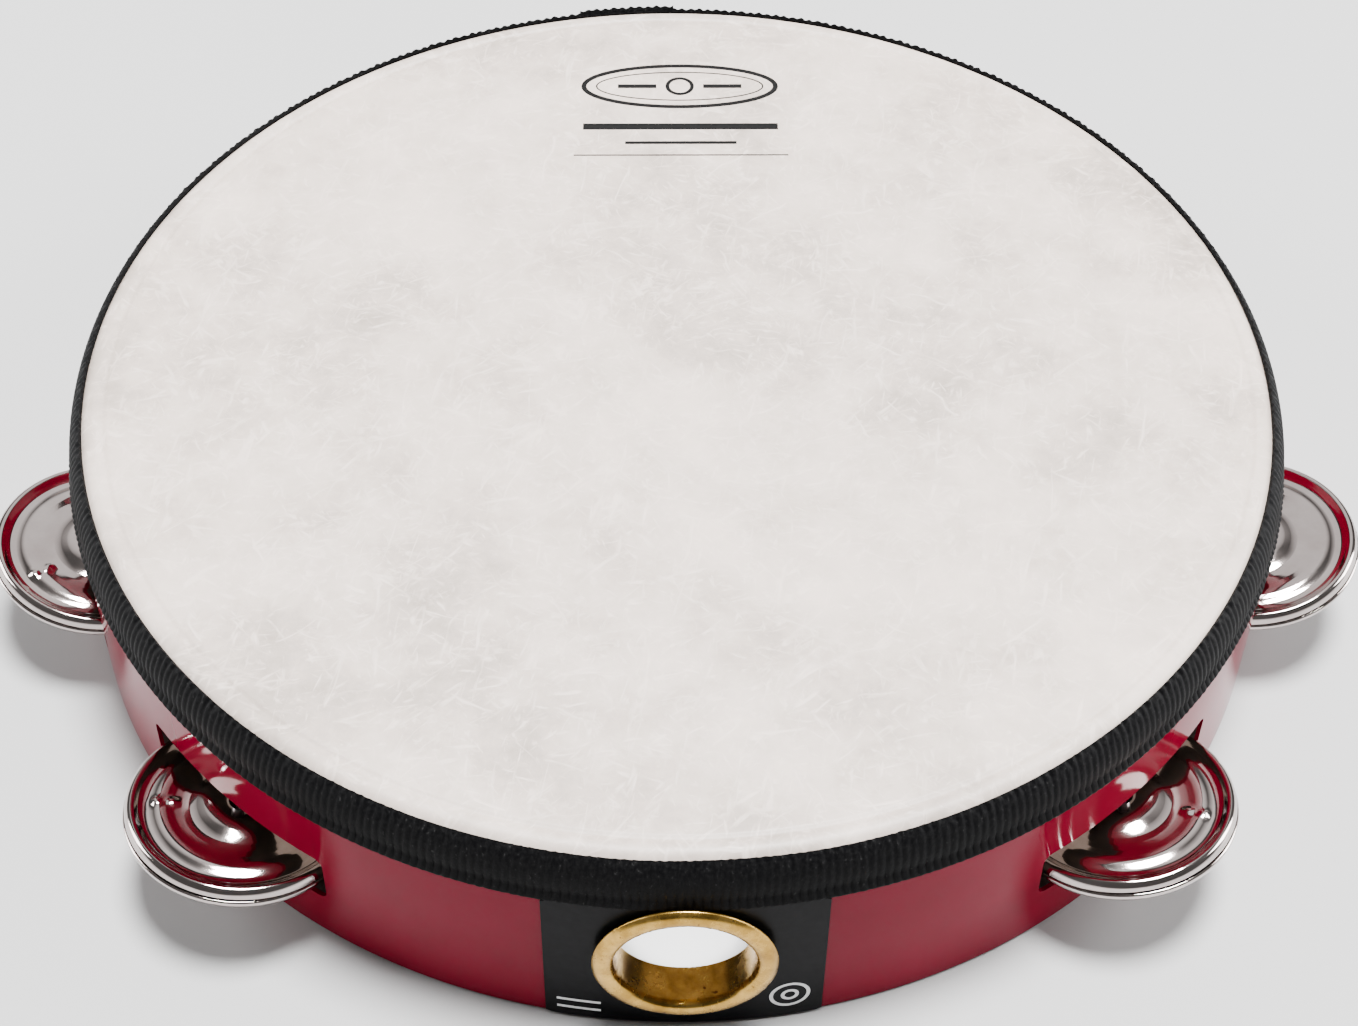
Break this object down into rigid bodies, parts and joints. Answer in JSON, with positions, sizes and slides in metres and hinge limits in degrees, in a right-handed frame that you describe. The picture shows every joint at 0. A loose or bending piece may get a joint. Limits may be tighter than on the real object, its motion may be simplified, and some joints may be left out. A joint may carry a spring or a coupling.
{
  "type": "tambourine",
  "caption": "Round headed tambourine: red slotted hoop, fibre-look drumhead, pairs of jingles on pins and a brass-lined thumb hole.",
  "frame": {"origin": "centre of the head's playing face, on the hoop's axis", "axes": "+Z along the hoop's axis, out of the playing face; -Y through the middle of the thumb hole; +X to the right of someone who looks at the thumb hole from outside with the head on top"},
  "size_m": [0.2894, 0.2689, 0.0493],
  "materials": {
    "bare_fibre": "raw pressed fibre, matt",
    "red_laminate": "high gloss",
    "fibre_film": "satin, mottled with fibres",
    "black_ribbon": "ribbed ribbon",
    "black_vinyl": "semi-gloss sticker",
    "brass": "satin, lightly pitted",
    "nickel_plate": "polished nickel plate",
    "pin_steel": "drawn steel"
  },
  "bodies": {
    "shell": {"shell_hoop": "bare_fibre", "outer_laminate": "red_laminate", "drumhead": "fibre_film", "binding_tape": "black_ribbon", "label": "black_vinyl", "grommet_barrel": "brass", "jingle_pin_1": "pin_steel", "jingle_pin_2": "pin_steel", "jingle_pin_3": "pin_steel", "jingle_pin_4": "pin_steel", "jingle_pin_5": "pin_steel", "jingle_pin_6": "pin_steel", "jingle_pin_7": "pin_steel", "jingle_pin_8": "pin_steel"},
    "jingle_1_lower": {"jingle_1_lower": "nickel_plate"},
    "jingle_1_upper": {"jingle_1_upper": "nickel_plate"},
    "jingle_2_lower": {"jingle_2_lower": "nickel_plate"},
    "jingle_2_upper": {"jingle_2_upper": "nickel_plate"},
    "jingle_3_lower": {"jingle_3_lower": "nickel_plate"},
    "jingle_3_upper": {"jingle_3_upper": "nickel_plate"},
    "jingle_4_lower": {"jingle_4_lower": "nickel_plate"},
    "jingle_4_upper": {"jingle_4_upper": "nickel_plate"},
    "jingle_5_lower": {"jingle_5_lower": "nickel_plate"},
    "jingle_5_upper": {"jingle_5_upper": "nickel_plate"},
    "jingle_6_lower": {"jingle_6_lower": "nickel_plate"},
    "jingle_6_upper": {"jingle_6_upper": "nickel_plate"},
    "jingle_7_lower": {"jingle_7_lower": "nickel_plate"},
    "jingle_7_upper": {"jingle_7_upper": "nickel_plate"},
    "jingle_8_lower": {"jingle_8_lower": "nickel_plate"},
    "jingle_8_upper": {"jingle_8_upper": "nickel_plate"}
  },
  "joints": [
    {"name": "jingle_1_lower_slide", "type": "slide", "parent": "shell", "child": "jingle_1_lower", "axis": [0, 0, 1], "range_m": [0, 0.0016]},
    {"name": "jingle_1_upper_slide", "type": "slide", "parent": "jingle_1_lower", "child": "jingle_1_upper", "axis": [0, 0, 1], "range_m": [0, 0.0016]},
    {"name": "jingle_2_lower_slide", "type": "slide", "parent": "shell", "child": "jingle_2_lower", "axis": [0, 0, 1], "range_m": [0, 0.0016]},
    {"name": "jingle_2_upper_slide", "type": "slide", "parent": "jingle_2_lower", "child": "jingle_2_upper", "axis": [0, 0, 1], "range_m": [0, 0.0016]},
    {"name": "jingle_3_lower_slide", "type": "slide", "parent": "shell", "child": "jingle_3_lower", "axis": [0, 0, 1], "range_m": [0, 0.0016]},
    {"name": "jingle_3_upper_slide", "type": "slide", "parent": "jingle_3_lower", "child": "jingle_3_upper", "axis": [0, 0, 1], "range_m": [0, 0.0016]},
    {"name": "jingle_4_lower_slide", "type": "slide", "parent": "shell", "child": "jingle_4_lower", "axis": [0, 0, 1], "range_m": [0, 0.0016]},
    {"name": "jingle_4_upper_slide", "type": "slide", "parent": "jingle_4_lower", "child": "jingle_4_upper", "axis": [0, 0, 1], "range_m": [0, 0.0016]},
    {"name": "jingle_5_lower_slide", "type": "slide", "parent": "shell", "child": "jingle_5_lower", "axis": [0, 0, 1], "range_m": [0, 0.0016]},
    {"name": "jingle_5_upper_slide", "type": "slide", "parent": "jingle_5_lower", "child": "jingle_5_upper", "axis": [0, 0, 1], "range_m": [0, 0.0016]},
    {"name": "jingle_6_lower_slide", "type": "slide", "parent": "shell", "child": "jingle_6_lower", "axis": [0, 0, 1], "range_m": [0, 0.0016]},
    {"name": "jingle_6_upper_slide", "type": "slide", "parent": "jingle_6_lower", "child": "jingle_6_upper", "axis": [0, 0, 1], "range_m": [0, 0.0016]},
    {"name": "jingle_7_lower_slide", "type": "slide", "parent": "shell", "child": "jingle_7_lower", "axis": [0, 0, 1], "range_m": [0, 0.0016]},
    {"name": "jingle_7_upper_slide", "type": "slide", "parent": "jingle_7_lower", "child": "jingle_7_upper", "axis": [0, 0, 1], "range_m": [0, 0.0016]},
    {"name": "jingle_8_lower_slide", "type": "slide", "parent": "shell", "child": "jingle_8_lower", "axis": [0, 0, 1], "range_m": [0, 0.0016]},
    {"name": "jingle_8_upper_slide", "type": "slide", "parent": "jingle_8_lower", "child": "jingle_8_upper", "axis": [0, 0, 1], "range_m": [0, 0.0016]}
  ]
}
